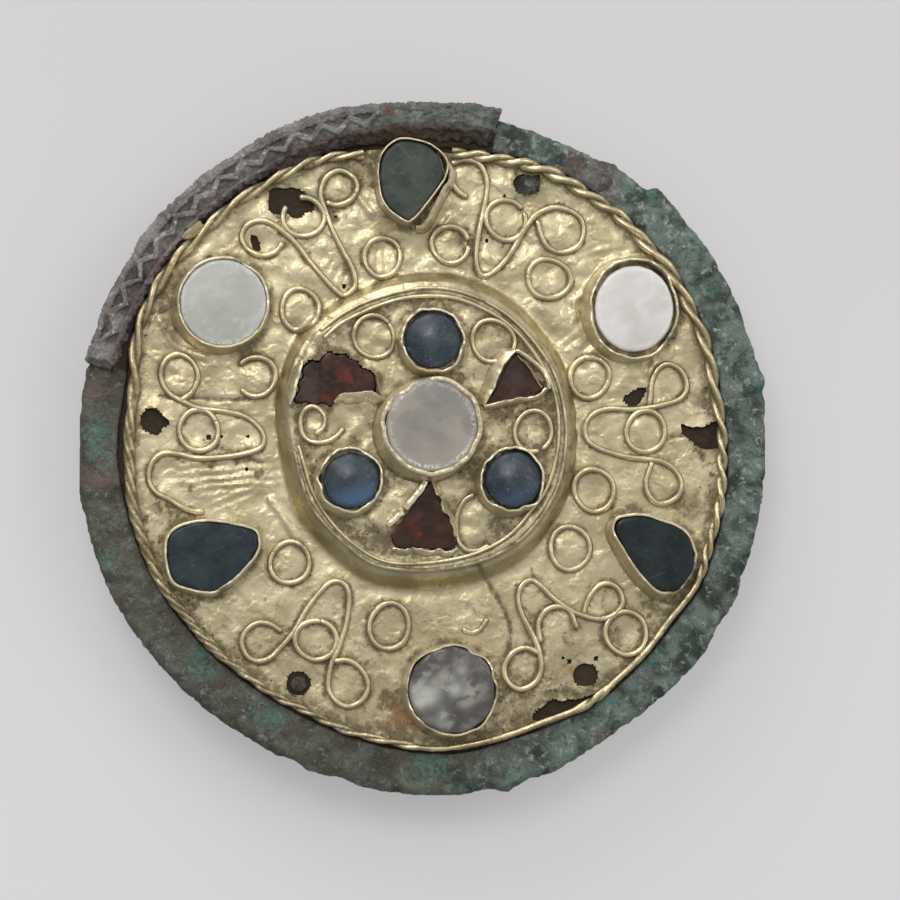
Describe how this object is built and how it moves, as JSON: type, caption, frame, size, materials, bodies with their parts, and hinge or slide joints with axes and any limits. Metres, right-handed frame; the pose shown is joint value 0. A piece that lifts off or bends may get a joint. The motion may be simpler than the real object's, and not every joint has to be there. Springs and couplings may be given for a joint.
{
  "type": "disc brooch",
  "caption": "Round bronze brooch with a gold filigree sheet, a raised boss, bezel-set stones and a broken punched rim; hinge lugs and a catch on its back.",
  "frame": {"origin": "On the surface the brooch lies on, under the centre of its round plate.", "axes": "+Z out of the decorated front, +Y to the top of the front as pictured, +X to the right of the front."},
  "size_m": [0.0606, 0.061, 0.0108],
  "materials": {
    "plate_bronze": "corroded bronze, grey-green with brown and teal patches",
    "rim_strip_bronze": "grey metal with bright worn ridges and dark punch marks",
    "gold_sheet": "thin pale gold, wrinkled, with dirt in its hollows",
    "gold_wire": "pale gold wire, bright on its crests",
    "gold_bezel": "pale gold strip with a bright uneven lip",
    "stone_top": "dark green scratched table",
    "stone_upper_left": "pale shell with a faint lustre",
    "stone_upper_right": "white shell",
    "stone_lower_left": "dark navy scratched table",
    "stone_lower_right": "dark teal scratched table",
    "stone_bottom": "clear grey stone with pale clouds inside",
    "stone_centre": "milky grey-mauve with a speckled margin",
    "blue_glass": "deep blue, glowing low down",
    "garnet": "deep brown-red with red glints"
  },
  "bodies": {
    "root": {"back_plate": "plate_bronze", "rim_strip": "rim_strip_bronze", "rivet_stub": "plate_bronze", "hinge_lug_left": "plate_bronze", "hinge_lug_right": "plate_bronze", "catch_plate": "plate_bronze", "gold_sheet": "gold_sheet", "edge_rope": "gold_wire", "boss_wire": "gold_wire", "bezel_top": "gold_bezel", "bezel_upper_left": "gold_bezel", "bezel_upper_right": "gold_bezel", "bezel_lower_left": "gold_bezel", "bezel_lower_right": "gold_bezel", "bezel_bottom": "gold_bezel", "bezel_centre": "gold_bezel", "stone_top": "stone_top", "stone_upper_left": "stone_upper_left", "stone_upper_right": "stone_upper_right", "stone_lower_left": "stone_lower_left", "stone_lower_right": "stone_lower_right", "stone_bottom": "stone_bottom", "stone_centre": "stone_centre", "cabochon_bezel_top": "gold_bezel", "cabochon_bezel_left": "gold_bezel", "cabochon_bezel_right": "gold_bezel", "cabochon_top": "blue_glass", "cabochon_left": "blue_glass", "cabochon_right": "blue_glass", "garnet_cell_left": "gold_bezel", "garnet_cell_right": "gold_bezel", "garnet_cell_bottom": "gold_bezel", "garnet_left": "garnet", "garnet_right": "garnet", "garnet_bottom": "garnet", "scroll_upper_left": "gold_wire", "scroll_upper_right": "gold_wire", "scroll_right": "gold_wire", "scroll_lower_right": "gold_wire", "scroll_lower_left": "gold_wire", "scroll_left": "gold_wire", "ringlet_upper_left_inner": "gold_wire", "ringlet_top_left": "gold_wire", "ringlet_top_right": "gold_wire", "ringlet_upper_right_inner": "gold_wire", "ringlet_right_upper": "gold_wire", "ringlet_right_lower": "gold_wire", "ringlet_lower_right_inner": "gold_wire", "ringlet_bottom_left": "gold_wire", "ringlet_lower_left_inner": "gold_wire", "ringlet_left_upper": "gold_wire", "ringlet_fragment": "gold_wire", "boss_ringlet_top_left": "gold_wire", "boss_ringlet_top_right": "gold_wire", "boss_ringlet_right": "gold_wire", "boss_ringlet_left": "gold_wire", "boss_ringlet_open": "gold_wire"}
  },
  "joints": []
}
